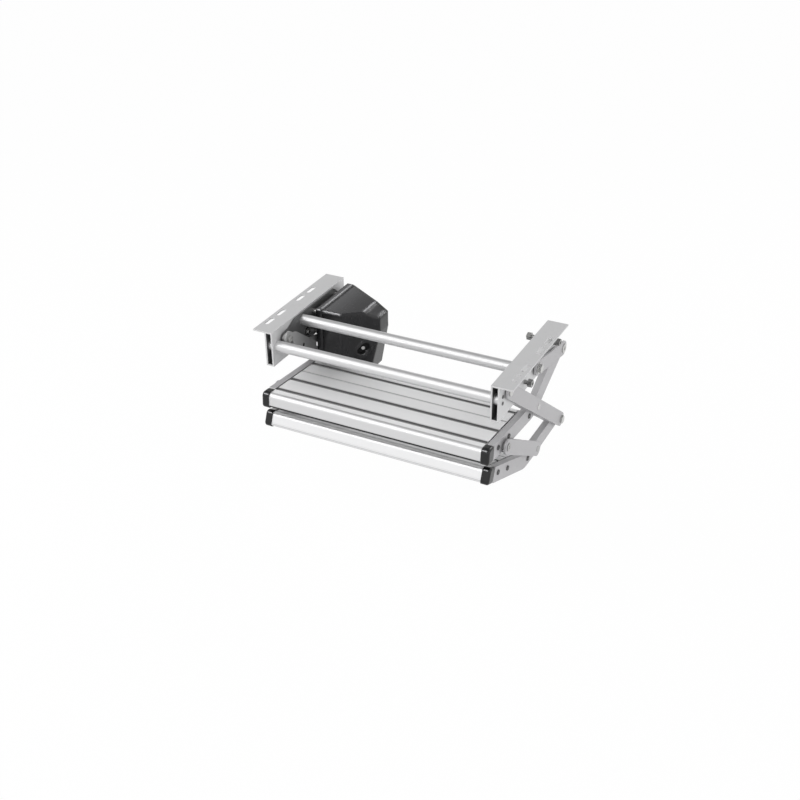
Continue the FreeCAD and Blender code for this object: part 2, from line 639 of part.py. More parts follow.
def cover_block(inset):
    """Bevelled block of the motor cover, drawn in by an inset, in its left-hand place."""
    start = -BASE_BACK
    front = HOUSING_FRONT
    reach = start + 100.3
    plan = [(start - (1.0 if inset else 0.0), front + inset), (start + 41.0 - 0.4 * inset, front + inset),
            (start + 76.0 - inset, front + 26.0), (reach - inset, front + 48.0 + 0.4 * inset),
            (reach - inset, front + 84.5 - inset), (start + 76.0 - 0.5 * inset, front + 84.5 - inset),
            (start - (1.0 if inset else 0.0), front + 130.0 - inset)]
    high = Part.Face(Part.makePolygon([V(x, y, -7.0 - inset) for x, y in plan + plan[:1]]))
    shape = high.extrude(V(0, 0, -131.0 + 2 * inset))
    side = [(front - 5.0, -5.0), (front + 140.0, -5.0), (front + 132.0 - inset, -120.0 + inset),
            (front + 114.0 - inset, -138.0 + inset), (front + 31.0 + inset, -138.0 + inset),
            (front + inset, -113.0 + inset), (front - 5.0, -113.0)]
    shape = shape.common(bar(side, start - 5.0, start + 130.0))
    shape = shape.cut(slope((start + 76.0 - inset, -7.0), (reach - inset, -23.0), (start + 110.0, -6.0)))
    return shape.cut(slope((reach - inset, -54.0), (reach - 16.0 - inset, -138.0), (start + 120.0, -138.0)))


def screw_recess():
    """Centre and outward direction of the oval recess in the cover's front bevel."""
    normal = V(26.0, -35.0, 0.0)
    normal.normalize()
    return V(-BASE_BACK + 75.0, HOUSING_FRONT + 25.3, -85.0), normal


def housing_cover():
    """Bevelled cover of the motor with a screw recess and a raised rib."""
    outer = cover_block(0.0)
    start = -BASE_BACK
    edges = [edge for edge in outer.Edges if not all(abs(v.X - start) < 0.01 for v in edge.Vertexes)]
    outer = outer.makeFillet(COVER_ROUND, edges)
    rims = [edge for edge in outer.Edges if all(abs(v.X - start) < 0.01 for v in edge.Vertexes)]
    outer = outer.makeChamfer(1.2, rims)
    centre, normal = screw_recess()
    lean = V(35.0, 26.0, 0.0)
    lean.normalize()
    recess = [Part.makeCylinder(8.5, 12, centre - normal * 7 + lean * (s * 4) + V(0, 0, s * 4), normal)
              for s in (-1, 1)]
    inner = cover_block(3.0)
    pocket = [Part.makeCylinder(11.5, 13, centre - normal * 10 + lean * (s * 4) + V(0, 0, s * 4), normal)
              for s in (-1, 1)]
    shell = outer.cut(inner.cut(pocket))
    shell = shell.cut(recess)
    rib = Part.makeBox(5.0, 3.0, 27.0, V(-2.5, -2.2, -13.5))
    rib.rotate(ORIGIN, V(0, 0, 1), math.degrees(math.atan2(26.0, 35.0)))
    rib.translate(V(start + 92.0, HOUSING_FRONT + 39.0, -92.0))
    return max(fused([shell, rib]).Solids, key=lambda solid: solid.Volume)


def cover_screw():
    """Screw in the bottom of the cover's oval recess."""
    centre, normal = screw_recess()
    return Part.makeCylinder(3.6, 3.2, centre - normal * 7, normal)


def gear_motor():
    """Gearbox and motor inside the housing, in plain form."""
    start = -BASE_BACK
    middle = MOTOR_SHAFT[0]
    gearbox = box(start + 4.5, start + 40.0, middle - 22.0, middle + 36.0, -92.0, -34.0)
    gearbox = gearbox.cut(pin(MOTOR_SHAFT, 6.05, -BASE_FACE, start + 40.0))
    barrel = Part.makeCylinder(17.0, 66.0, V(start + 58.0, middle, -112.0), V(0, 0, 1))
    neck = box(start + 38.0, start + 56.0, middle - 12.0, middle + 12.0, -84.0, -46.0)
    foot = ring(MOTOR_SHAFT, 24.0, 6.05, start - 9.5, start + 4.5)
    return fused([gearbox, neck, barrel, foot])


def drive_crank():
    """Output shaft and crank in one piece, with the rod's pin."""
    shaft = pin(MOTOR_SHAFT, 6.0, BASE_BACK - 37.0, LEVER_OUT)
    angle = bearing(MOTOR_SHAFT, CRANK_PIN)
    half = 10.0
    corners = [along(MOTOR_SHAFT, CRANK_PIN, distance, side) + (half,)
               for distance, side in ((-half, half), (CRANK_REACH + 8.0, 8.0), (CRANK_REACH + 8.0, -8.0),
                                      (-half, -half))]
    web = bar(corners, LEVER_IN, LEVER_OUT)
    stud = pin(CRANK_PIN, 4.0, LEVER_IN, ROD_OUT + 0.3)
    head = pin(CRANK_PIN, 6.0, ROD_OUT + 0.3, ROD_OUT + 1.3)
    return mirrored(fused([shaft, web, stud, head]))


def drive_rod():
    """Flat rod between the crank and the drive lever."""
    length = math.hypot(CRANK_PIN[0] - LEVER_PIN[0], CRANK_PIN[1] - LEVER_PIN[1])
    half = 8.0
    corners = [along(LEVER_PIN, CRANK_PIN, distance, side) + (half,)
               for distance, side in ((-half, half), (length + half, half), (length + half, -half), (-half, -half))]
    shape = bar(corners, ROD_IN, ROD_OUT)
    return mirrored(shape.cut([pin(place, 4.05, ROD_IN - 1, ROD_OUT + 1) for place in (LEVER_PIN, CRANK_PIN)]))


def build_frame():
    """Rails, tubes, pivots and stops that are fixed to the vehicle."""
    save_pair("rail", rail())
    save("front_cross_tube", cross_tube(FRONT_TUBE))
    save("rear_cross_tube", cross_tube(REAR_TUBE))
    save("tube_screws", tube_screws())
    save("rail_bushes", group(both(rail_bush(ARM_PIVOT)) + both(rail_bush(STAY_PIVOT))))
    save("stay_bolts", group(both(stay_bolt())))
    save("front_stop_bolts", group(both(stop_bolt(FRONT_STOP, RAIL_INNER - 8.0, STOP_SHANK, 8.0))))
    save("right_rear_stop_bolt", long_stop_bolt(REAR_STOP, RAIL_INNER - 35.5, 6.5, 22.0))
    save("left_rear_stop_bolt", mirrored(stop_bolt(REAR_STOP, RAIL_INNER - 8.0, 6.5, 22.0)))


def build_drive():
    """Motor, its housing and the linkage to the left arm."""
    save("motor_plate", motor_plate())
    save("motor_spacers", motor_spacers())
    save("housing_base", housing_base())
    save("housing_cover", housing_cover())
    save("cover_screw", cover_screw())
    save("gear_motor", gear_motor())
    save("drive_crank", drive_crank())
    save("drive_rod", drive_rod())
    save("drive_lever", drive_lever())
    save("lever_pin", lever_pin())


def build_links():
    """Arms, stays and lower links with their pins."""
    save_pair("arm", arm())
    save("right_arm_shaft", arm_shaft(RAIL_INNER - 4.0, RAIL_INNER - 4.0, RAIL_INNER - BODY_GAP))
    save("left_arm_shaft", mirrored(arm_shaft(LEVER_IN, LEVER_OUT, RAIL_INNER - 3.0 - BODY_GAP)))
    save("arm_pins", arm_pins())
    save_pair("stay", flat_link(STAY_PIVOT, STAY_END, PIN_HOLE, PIN_RADIUS, ()))
    save("stay_pins", group(both(short_pin(STAY_END, 8.0))))
    save_pair("lower_link", flat_link(LINK_TOP, LINK_BOTTOM, PIN_HOLE, PIN_RADIUS, ((17.0, 83.0),)))
    save("link_pins", group(both(rivet_pin(LINK_BOTTOM))))


def build_step(name, front, pitch, plate, bar_place):
    """One complete step under a name."""
    save(name + "_tread", place_tread(tread(), front, pitch))
    save(name + "_right_plate", plate)
    save(name + "_left_plate", mirrored(plate))
    cap = place_tread(end_cap(), front, pitch)
    save(name + "_right_cap", cap)
    save(name + "_left_cap", mirrored(cap))
    save(name + "_rear_bar", rear_bar(bar_place))
    save(name + "_screws", step_screws(front, pitch, bar_place))


def build():
    """Write every node."""
    build_frame()
    build_drive()
    build_links()
    build_step("upper", UPPER_FRONT, UPPER_PITCH, upper_plate(), UPPER_BAR)
    build_step("lower", LOWER_FRONT, LOWER_PITCH, lower_plate(), LOWER_BAR)
    save("step_pins", group(both(step_pin(LINK_TOP))))


build()
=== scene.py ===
"""Looks of a motor-driven folding double entry step: finishes, small hardware, studio and camera.

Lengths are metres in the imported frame: X to the right, Y to the back, Z up, with the rails'
mounting faces at Z = 0.
"""

from __future__ import annotations

import logging
import math
from dataclasses import dataclass, replace
from enum import Enum
from typing import Any, Callable, Iterable, Sequence, Union

import bmesh
import bpy
from mathutils import Matrix, Vector

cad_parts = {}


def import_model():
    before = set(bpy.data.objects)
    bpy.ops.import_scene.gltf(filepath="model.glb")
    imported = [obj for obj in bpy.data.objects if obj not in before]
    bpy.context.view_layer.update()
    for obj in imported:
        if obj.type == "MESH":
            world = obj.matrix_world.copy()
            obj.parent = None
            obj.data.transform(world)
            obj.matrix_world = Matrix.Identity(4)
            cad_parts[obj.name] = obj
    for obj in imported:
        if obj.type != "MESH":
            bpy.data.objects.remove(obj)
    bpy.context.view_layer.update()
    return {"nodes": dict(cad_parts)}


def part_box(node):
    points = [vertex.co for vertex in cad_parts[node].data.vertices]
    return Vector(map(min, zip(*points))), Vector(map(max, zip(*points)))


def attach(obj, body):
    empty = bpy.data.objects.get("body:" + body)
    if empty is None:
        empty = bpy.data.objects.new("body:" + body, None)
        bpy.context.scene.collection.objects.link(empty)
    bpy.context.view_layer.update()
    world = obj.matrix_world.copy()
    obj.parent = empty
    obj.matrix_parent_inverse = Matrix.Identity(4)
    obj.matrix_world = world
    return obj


LOG = logging.getLogger("entry_step")
MM = 0.001
Colour = tuple[float, float, float]
Triple = tuple[float, float, float]
Span = tuple[float, float]
WIDTHWAYS: Triple = (1.0, 0.0, 0.0)
LEFTWARD: Triple = (-1.0, 0.0, 0.0)
BACKWARD: Triple = (0.0, 1.0, 0.0)
UPWARD: Triple = (0.0, 0.0, 1.0)
WHITE = (1.0, 1.0, 1.0, 1.0)


class Grain(Enum):
    """Direction in which a metal part was drawn or brushed."""

    ACROSS = (1.0, 0.0, 0.0)
    DEEP = (0.0, 1.0, 0.0)
    NONE = (0.0, 0.0, 0.0)


class Value:
    """A number socket of a shader graph that Python's operators work on."""

    def __init__(self, graph: "Graph", socket: bpy.types.NodeSocket) -> None:
        """Keep the graph and the socket."""
        self.graph = graph
        self.socket = socket

    def _math(self, operation: str, first: "Number", second: "Number" = 0.0) -> "Value":
        """Add one Math node.

        Args:
            operation: The Math node's operation.
            first: Its first value.
            second: Its second value.

        Returns:
            The node's result.
        """
        node = self.graph.node("ShaderNodeMath", {"operation": operation}, {0: first, 1: second})
        return Value(self.graph, node.outputs[0])

    def __add__(self, other: "Number") -> "Value":
        """Sum."""
        return self._math("ADD", self, other)

    def __radd__(self, other: "Number") -> "Value":
        """Sum with the value on the right."""
        return self._math("ADD", other, self)

    def __sub__(self, other: "Number") -> "Value":
        """Difference."""
        return self._math("SUBTRACT", self, other)

    def __rsub__(self, other: "Number") -> "Value":
        """Difference with the value on the right."""
        return self._math("SUBTRACT", other, self)

    def __mul__(self, other: "Number") -> "Value":
        """Product."""
        return self._math("MULTIPLY", self, other)

    def __rmul__(self, other: "Number") -> "Value":
        """Product with the value on the right."""
        return self._math("MULTIPLY", other, self)

    def largest(self, other: "Number") -> "Value":
        """The higher of two values."""
        return self._math("MAXIMUM", self, other)

    def wave(self) -> "Value":
        """Sine."""
        return self._math("SINE", self)

    def size(self) -> "Value":
        """Absolute value."""
        return self._math("ABSOLUTE", self)

    def ramp(self, low: float, high: float) -> "Value":
        """Smooth rise from 0 at low to 1 at high, or a fall where low is the higher.

        Args:
            low: Value at which the result is 0.
            high: Value at which the result is 1.

        Returns:
            The result, between 0 and 1.
        """
        settings = {"interpolation_type": "SMOOTHSTEP", "clamp": True}
        bounds = (low, high, 0.0, 1.0) if low < high else (high, low, 1.0, 0.0)
        sockets = {0: self, 1: bounds[0], 2: bounds[1], 3: bounds[2], 4: bounds[3]}
        return Value(self.graph, self.graph.node("ShaderNodeMapRange", settings, sockets).outputs[0])


Number = Union[float, Value]


class Graph:
    """The node tree of a material or of the world."""

    def __init__(self, owner: Union[bpy.types.Material, bpy.types.World]) -> None:
        """Start with an empty tree.

        Args:
            owner: The material or world that the tree belongs to.
        """
        owner.use_nodes = True
        self.owner = owner
        self.tree = owner.node_tree
        self.tree.nodes.clear()

    def node(self, kind: str, settings: dict[str, Any], sockets: dict[Any, Any]) -> bpy.types.Node:
        """Add one node.

        Args:
            kind: The node's type.
            settings: Properties that are set before the sockets.
            sockets: Values or links by input name or number.

        Returns:
            The new node.
        """
        made = self.tree.nodes.new(kind)
        for key, setting in settings.items():
            setattr(made, key, setting)
        for key, given in sockets.items():
            socket = made.inputs[key]
            if isinstance(given, Value):
                self.tree.links.new(given.socket, socket)
            elif isinstance(given, bpy.types.NodeSocket):
                self.tree.links.new(given, socket)
            else:
                socket.default_value = given
        return made

    def place(self) -> bpy.types.NodeSocket:
        """Object coordinates."""
        return self.node("ShaderNodeTexCoord", {}, {}).outputs["Object"]

    def along(self, direction: Triple, offset: float = 0.0) -> Value:
        """Distance along a direction, in metres.

        Args:
            direction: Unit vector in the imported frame.
            offset: Distance at which the value is 0.

        Returns:
            The distance.
        """
        sockets = {0: self.place(), 1: direction}
        node = self.node("ShaderNodeVectorMath", {"operation": "DOT_PRODUCT"}, sockets)
        return Value(self, node.outputs["Value"]) - offset

    def noise(self, size: float, stretch: Triple = (1.0, 1.0, 1.0), detail: float = 3.0,
              rough: float = 0.55) -> Value:
        """Soft noise between 0 and 1.

        Args:
            size: Size of its largest features in metres.
            stretch: How much longer they are along each axis.
            detail: Octaves.
            rough: Share that the smaller octaves keep.

        Returns:
            The noise.
        """
        scale = tuple(1.0 / (size * factor) for factor in stretch)
        mapping = self.node("ShaderNodeMapping", {}, {"Vector": self.place(), "Scale": scale})
        sockets = {"Vector": mapping.outputs[0], "Scale": 1.0, "Detail": detail, "Roughness": rough}
        return Value(self, self.node("ShaderNodeTexNoise", {}, sockets).outputs[0])

    def cells(self, size: float) -> Value:
        """Distance to the nearest of scattered points, about 0 to 1.

        Args:
            size: Distance between the points in metres.

        Returns:
            The distance as a share of size.
        """
        sockets = {"Vector": self.place(), "Scale": 1.0 / size}
        return Value(self, self.node("ShaderNodeTexVoronoi", {}, sockets).outputs["Distance"])

    def tint(self, amount: Number, dark: Union[Colour, bpy.types.NodeSocket],
             light: Colour) -> bpy.types.NodeSocket:
        """Mix of two colours.

        Args:
            amount: Share of the second colour.
            dark: First colour or link.
            light: Second colour.

        Returns:
            The mixed colour.
        """
        first = dark if isinstance(dark, bpy.types.NodeSocket) else (*dark, 1.0)
        sockets = {"Factor": amount, 6: first, 7: (*light, 1.0)}
        return self.node("ShaderNodeMix", {"data_type": "RGBA", "clamp_factor": True}, sockets).outputs[2]

    def distance(self, point: Triple) -> Value:
        """Distance from a point, in metres.

        Args:
            point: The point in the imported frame.

        Returns:
            The distance.
        """
        node = self.node("ShaderNodeVectorMath", {"operation": "DISTANCE"}, {0: self.place(), 1: point})
        return Value(self, node.outputs["Value"])

    def soft_edges(self, radius: float) -> tuple[bpy.types.NodeSocket, Value]:
        """Normals that round sharp edges.

        Args:
            radius: Radius of the rounding in metres.

        Returns:
            The normal and a mask that is 0 on flat areas and rises on edges.
        """
        samples = 12 if radius > 2.0 * MM else 4
        bevel = self.node("ShaderNodeBevel", {"samples": samples}, {"Radius": radius})
        flat = self.node("ShaderNodeNewGeometry", {}, {}).outputs["True Normal"]
        both = {0: bevel.outputs[0], 1: flat}
        level = self.node("ShaderNodeVectorMath", {"operation": "DOT_PRODUCT"}, both).outputs["Value"]
        return bevel.outputs[0], (1.0 - Value(self, level)).ramp(0.02, 0.30)

    def bump(self, height: Value, depth: float, normal: bpy.types.NodeSocket) -> bpy.types.NodeSocket:
        """Bumped normal.

        Args:
            height: Height between 0 and 1.
            depth: Height in metres where the value is 1.
            normal: Normal that the bumps stand on.

        Returns:
            The new normal.
        """
        sockets = {"Height": height, "Distance": depth, "Strength": 1.0, "Normal": normal}
        return self.node("ShaderNodeBump", {}, sockets).outputs[0]

    def facing(self, normal: bpy.types.NodeSocket, direction: Triple) -> Value:
        """Cosine between a normal and a fixed direction.

        Args:
            normal: The normal.
            direction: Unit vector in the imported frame.

        Returns:
            The cosine.
        """
        node = self.node("ShaderNodeVectorMath", {"operation": "DOT_PRODUCT"}, {0: normal, 1: direction})
        return Value(self, node.outputs["Value"])

    def plain_sight(self) -> Value:
        """1 where the camera, a gloss or a clear part sees the surface, and 0 for other light."""
        path = self.node("ShaderNodeLightPath", {}, {})
        seen = Value(self, path.outputs["Is Camera Ray"])
        for kind in ("Is Glossy Ray", "Is Transmission Ray"):
            seen = seen.largest(Value(self, path.outputs[kind]))
        return seen


class SurfaceGraph(Graph):
    """A material with one Principled surface."""

    def __init__(self, name: str) -> None:
        """Start an empty material.

        Args:
            name: The material's name.
        """
        super().__init__(bpy.data.materials.new(name))
        self.surface = self.node("ShaderNodeBsdfPrincipled", {}, {})
        self.output = self.node("ShaderNodeOutputMaterial", {}, {"Surface": self.surface.outputs[0]})

    def finish(self, varying: dict[str, Any], fixed: dict[str, Any]) -> bpy.types.Material:
        """Link and set the surface's sockets.

        Args:
            varying: Links for the sockets that change over the surface.
            fixed: Values that are the same all over.

        Returns:
            The finished material.
        """
        for key, given in varying.items():
            source = given.socket if isinstance(given, Value) else given
            self.tree.links.new(source, self.surface.inputs[key])
        for key, value in fixed.items():
            self.surface.inputs[key].default_value = value
        return self.owner


@dataclass(frozen=True)
class MetalFinish:
    """Bare, plated or anodised metal with drawing lines, light stains and bright worn edges, made so bright
    on the bolts that they are also a painted highlight.
    """

    name: str
    colour: Colour
    roughness: float
    grain: Grain = Grain.NONE
    grain_size: float = 0.5 * MM
    grain_depth: float = 0.004 * MM
    grain_contrast: float = 0.10
    stain: float = 0.06
    stain_colour: Colour = (0.45, 0.45, 0.46)
    metallic: float = 1.0
    edge_radius: float = 0.5 * MM
    edge_light: float = 0.25
    rough_spread: float = 0.12

    def stretch(self) -> Triple:
        """How much longer the grain is along each axis."""
        return tuple(1.0 + 60.0 * part for part in self.grain.value)

    def base(self, graph: Graph) -> tuple[bpy.types.NodeSocket, Value, bpy.types.NodeSocket]:
        """Nodes that every metal has.

        Args:
            graph: The material's graph.

        Returns:
            Colour, roughness and normal.
        """
        lines = graph.noise(self.grain_size, self.stretch(), 2.0, 0.6)
        patches = graph.noise(28.0 * MM, detail=4.0)
        fine = graph.noise(1.2 * MM, detail=2.0)
        normal, edge = graph.soft_edges(self.edge_radius)
        shade = (lines - 0.5) * self.grain_contrast + (fine - 0.5) * 0.05
        dark = tuple(tone * 0.86 for tone in self.colour)
        light = tuple(min(1.0, tone * 1.14) for tone in self.colour)
        colour = graph.tint(0.5 + shade * 2.0, dark, light)
        colour = graph.tint(patches.ramp(0.52, 0.75) * self.stain, colour, self.stain_colour)
        bright = tuple(min(1.0, tone * (1.0 + self.edge_light)) for tone in self.colour)
        colour = graph.tint(edge * 0.8, colour, bright)
        rough = self.roughness + (lines - 0.5) * self.rough_spread
        rough = rough + (patches - 0.5) * self.rough_spread - edge * 0.06
        height = lines * 0.7 + fine * 0.3
        return colour, rough.largest(0.08), graph.bump(height, self.grain_depth, normal)

    def make(self) -> bpy.types.Material:
        """Build the material.

        Returns:
            The material.
        """
        graph = SurfaceGraph(self.name)
        colour, rough, normal = self.base(graph)
        links = {"Base Color": colour, "Roughness": rough, "Normal": normal}
        return graph.finish(links, {"Metallic": self.metallic})


@dataclass(frozen=True)
class RailFinish(MetalFinish):
    """Satin extrusion whose hollow between the webs is painted dark: painted shade."""

    hollow: Span = (0.0, 0.0)
    hollow_heights: Span = (0.0, 0.0)
    hollow_shade_colour: Colour = (0.06, 0.06, 0.062)

    def make(self) -> bpy.types.Material:
        """Build the material.

        Returns:
            The material.
        """
        graph = SurfaceGraph(self.name)
        colour, rough, normal = self.base(graph)
        edge = 0.2 * MM
        # Painted shade: the hollow behind the rail's front end is painted near black.
        inside = graph.along(BACKWARD).ramp(edge, 1.5 * MM)
        for reach, (low, high) in ((graph.along(WIDTHWAYS).size(), self.hollow),
                                   (graph.along(UPWARD), self.hollow_heights)):
            inside = inside * reach.ramp(low - edge, low) * reach.ramp(high + edge, high)
        colour = graph.tint(inside * 0.85, colour, self.hollow_shade_colour)
        links = {"Base Color": colour, "Roughness": rough, "Normal": normal}
        return graph.finish(links, {"Metallic": self.metallic})


@dataclass(frozen=True)
class TreadFinish(MetalFinish):
    """Brushed and anodised tread section with fine grip lines, painted shade in and along its grooves and
    under the nose, and a painted light band on the nose's rounding where set.

    Depth runs back from the nose and height up from the deck, both square to the tread.
    """

    front: Span = (0.0, 0.0)
    pitch: float = 0.0
    grooves: Sequence[Span] = ()
    deck_end: float = 0.0
    nose_depth: float = 29.1 * MM
    grip_pitch: float = 2.6 * MM
    ridge_pitch: float = 3.2 * MM
    groove_shade_bands: Sequence[Triple] = ()
    painted_shadow_height: float = -60.0 * MM
    nose_colour_and_painted_light: Colour = (0.8, 0.8, 0.805)
    nose_reach: float = 6.0 * MM
    matt_painted_light_edge: float = 0.0
    groove_shade_colour: Colour = (0.05, 0.05, 0.052)
    ridge_colour: Colour = (0.30, 0.30, 0.305)
    painted_shade_colour: Colour = (0.012, 0.012, 0.013)
    painted_light_colour: Colour = (0.96, 0.96, 0.965)

    def lines(self, reach: Value, pitch: float) -> Value:
        """Parallel lines between 0 and 1.

        Args:
            reach: Distance across the lines in metres.
            pitch: Distance between two lines.

        Returns:
            The lines.
        """
        return (reach * (2.0 * math.pi / pitch)).wave() * 0.5 + 0.5

    def make(self) -> bpy.types.Material:
        """Build the material.

        Returns:
            The material.
        """
        graph = SurfaceGraph(self.name)
        colour, rough, normal = self.base(graph)
        turn = math.radians(self.pitch)
        run = (0.0, math.cos(turn), -math.sin(turn))
        rise = (0.0, math.sin(turn), math.cos(turn))
        depth = graph.along(run, self.front[0] * run[1] + self.front[1] * run[2])
        height = graph.along(rise, self.front[0] * rise[1] + self.front[1] * rise[2])
        # Painted shade: the rebate on the left and the floors of the grooves are painted dark.
        left_rebate = graph.along(LEFTWARD).ramp(self.deck_end - 0.3 * MM, self.deck_end)
        inside = left_rebate * depth.ramp(20.0 * MM, 23.0 * MM)
        for low, high in self.grooves:
            behind_low = depth.ramp(low - 0.2 * MM, low + 0.1 * MM)
            inside = inside.largest(behind_low * depth.ramp(high + 0.2 * MM, high - 0.1 * MM))
        sunk = inside * height.ramp(-0.25 * MM, -0.8 * MM) * height.ramp(-22.0 * MM, -19.0 * MM)
        colour = graph.tint(sunk * 0.85, colour, self.groove_shade_colour)
        on_top = height.ramp(-0.6 * MM, -0.1 * MM)
        on_top = on_top * depth.ramp(self.nose_depth, self.nose_depth + 2.0 * MM)
        normal = graph.bump(self.lines(depth, self.grip_pitch) * on_top, 0.05 * MM, normal)
        on_deck = height.ramp(-2.0 * MM, -0.5 * MM)
        # Painted shadow and shade: the nose face is painted black below a set height, and dark bands are
        # painted along the grooves.
        strip = height.ramp(self.painted_shadow_height + 0.4 * MM, self.painted_shadow_height)
        for centre, half, share in self.groove_shade_bands:
            away = (depth - centre).size()
            band = away.ramp(half * 2.6, half * 1.2) * 0.20 + away.ramp(half * 1.15, half * 0.75) * 0.70
            strip = strip.largest(band * share * on_deck)
        strip = strip * graph.along(WIDTHWAYS).size().ramp(self.deck_end + 1.0 * MM, self.deck_end)
        nose = depth.ramp(self.nose_reach + 3.0 * MM, self.nose_reach)
        # Painted light: where it is set, the nose's top rounding is painted near white and made matt.
        rounding = depth.ramp(7.0 * MM, 5.0 * MM) * height.ramp(-4.5 * MM, -2.0 * MM)
        matt = rounding * self.matt_painted_light_edge
        colour = graph.tint(nose * 0.8 * (1.0 - matt), colour, self.nose_colour_and_painted_light)
        colour = graph.tint(matt, colour, self.painted_light_colour)
        low_face = nose * height.ramp(-21.0 * MM, -23.5 * MM)
        ridges = low_face * self.lines(height, self.ridge_pitch)
        colour = graph.tint(ridges * 0.60, colour, self.ridge_colour)
        colour = graph.tint(strip, colour, self.painted_shade_colour)
        rough = rough + sunk * 0.25 + strip * 0.2 - nose * 0.20
        metallic = (self.metallic + nose * (1.0 - matt) * 0.70) * (1.0 - strip)
        links = {"Base Color": colour, "Roughness": rough, "Normal": normal, "Metallic": metallic}
        return graph.finish(links, {})


@dataclass(frozen=True)
class PlasticFinish:
    """Moulded plastic with a fine grain, faint flow marks and polished edges, with painted highlights on
    edges facing set directions and a painted sheen on top faces.

    A recess whose mouth is centred at pit is painted dark within: painted shade. At the default it lies far
    from the step.
    """

    name: str
    colour: Colour
    roughness: float
    grain_size: float = 0.45 * MM
    grain_depth: float = 0.02 * MM
    edge_radius: float = 0.8 * MM
    edge_light: float = 0.02
    specular: float = 0.5
    dust: float = 0.18
    pit: Triple = (9.0, 9.0, 9.0)
    pit_facing: Triple = (0.0, -1.0, 0.0)
    pit_radius: float = 16.0 * MM
    sheen: Colour = (0.0, 0.0, 0.0)
    sheen_span: Span = (-0.13, -0.19)
    glints: Sequence[tuple[Triple, float]] = ()
    glint_share: float = 0.9
    dust_colour: Colour = (0.22, 0.22, 0.21)
    pit_shade_colour: Colour = (0.001, 0.001, 0.001)
    glint_colour: Colour = (0.80, 0.80, 0.82)

    def make(self) -> bpy.types.Material:
        """Build the material.

        Returns:
            The material.
        """
        graph = SurfaceGraph(self.name)
        normal, edge = graph.soft_edges(self.edge_radius)
        grain = graph.cells(self.grain_size)
        flow = graph.noise(22.0 * MM, (1.0, 1.0, 2.5), 4.0)
        dust = graph.noise(4.0 * MM, detail=6.0, rough=0.7)
        light = tuple(min(1.0, tone * 1.25 + 0.002) for tone in self.colour)
        colour = graph.tint(flow.ramp(0.35, 0.7), self.colour, light)
        pale = tuple(min(1.0, tone + self.edge_light) for tone in self.colour)
        colour = graph.tint(edge * 0.7, colour, pale)
        colour = graph.tint(dust.ramp(0.62, 0.85) * self.dust, colour, self.dust_colour)
        # Painted shade in the recess whose mouth is at pit.
        below = graph.along(self.pit_facing, Vector(self.pit).dot(Vector(self.pit_facing)))
        near = graph.distance(self.pit).ramp(self.pit_radius, self.pit_radius * 0.9)
        sunk = below.ramp(-0.2 * MM, -1.2 * MM) * near
        colour = graph.tint(sunk, colour, self.pit_shade_colour)
        # Painted sheen: upward faces are painted paler, fading out across the width.
        if max(self.sheen) > 0.0:
            span = graph.along(WIDTHWAYS).ramp(*self.sheen_span)
            upward = graph.facing(normal, UPWARD).ramp(0.96, 0.999)
            colour = graph.tint(upward * span, colour, self.sheen)
        # Painted highlights: edges whose normals face a set direction are painted pale.
        for direction, width in self.glints:
            glint = graph.facing(normal, direction).ramp(1.0 - width, 1.0 - width * 0.3)
            colour = graph.tint(glint * (1.0 - sunk) * self.glint_share, colour, self.glint_colour)
        rough = self.roughness + sunk * 0.5 + (flow - 0.5) * 0.06
        rough = rough + dust.ramp(0.55, 0.8) * 0.10 - edge * 0.05
        normal = graph.bump(grain, self.grain_depth, normal)
        links = {"Base Color": colour, "Roughness": rough.largest(0.06), "Normal": normal}
        return graph.finish(links, {"Metallic": 0.0, "Specular IOR Level": self.specular})


class Shop:
    """Meshes and finishes: turns a bmesh into a riding piece and keeps each finish once."""

    def __init__(self) -> None:
        """Start with no finishes."""
        self.made: dict[str, bpy.types.Material] = {}
        self.count = 0

    def material(self, finish: Union[MetalFinish, PlasticFinish]) -> bpy.types.Material:
        """The material of a finish, made on first use.

        Args:
            finish: The finish.

        Returns:
            Its material.
        """
        if finish.name not in self.made:
            self.made[finish.name] = finish.make()
        return self.made[finish.name]

    def dress(self, nodes: dict[str, bpy.types.Object], finish: Union[MetalFinish, PlasticFinish],
              names: Iterable[str]) -> None:
        """Give CAD nodes a finish.

        Args:
            nodes: All CAD nodes by name.
            finish: The finish.
            names: The nodes that take it.
        """
        material = self.material(finish)
        for name in names:
            mesh = nodes[name].data
            if not mesh.materials:
                mesh.materials.append(material)
            for index in range(len(mesh.materials)):
                mesh.materials[index] = material
            LOG.info("node %s takes %s", name, finish.name)

    def piece(self, shape: bmesh.types.BMesh, name: str, body: str, slot: str,
              finish: Union[MetalFinish, PlasticFinish], smooth: bool = True) -> bpy.types.Object:
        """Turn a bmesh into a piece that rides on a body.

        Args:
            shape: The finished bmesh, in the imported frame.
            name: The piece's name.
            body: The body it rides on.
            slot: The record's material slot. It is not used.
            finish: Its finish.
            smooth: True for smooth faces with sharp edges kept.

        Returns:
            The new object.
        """
        bmesh.ops.recalc_face_normals(shape, faces=shape.faces[:])
        mesh = bpy.data.meshes.new(name)
        shape.to_mesh(mesh)
        shape.free()
        for polygon in mesh.polygons:
            polygon.use_smooth = smooth
        if smooth:
            mesh.set_sharp_from_angle(angle=math.radians(35.0))
        mesh.materials.append(self.material(finish))
        made = bpy.data.objects.new(name, mesh)
        bpy.context.scene.collection.objects.link(made)
        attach(made, body)
        self.count += 1
        LOG.info("piece %s on %s: %d faces", name, body, len(mesh.polygons))
        return made


THREAD_STEPS = 20
THREAD_PROFILE: Sequence[Span] = ((-0.42, -0.03), (0.0, 0.34), (0.42, -0.03), (0.0, -0.25))


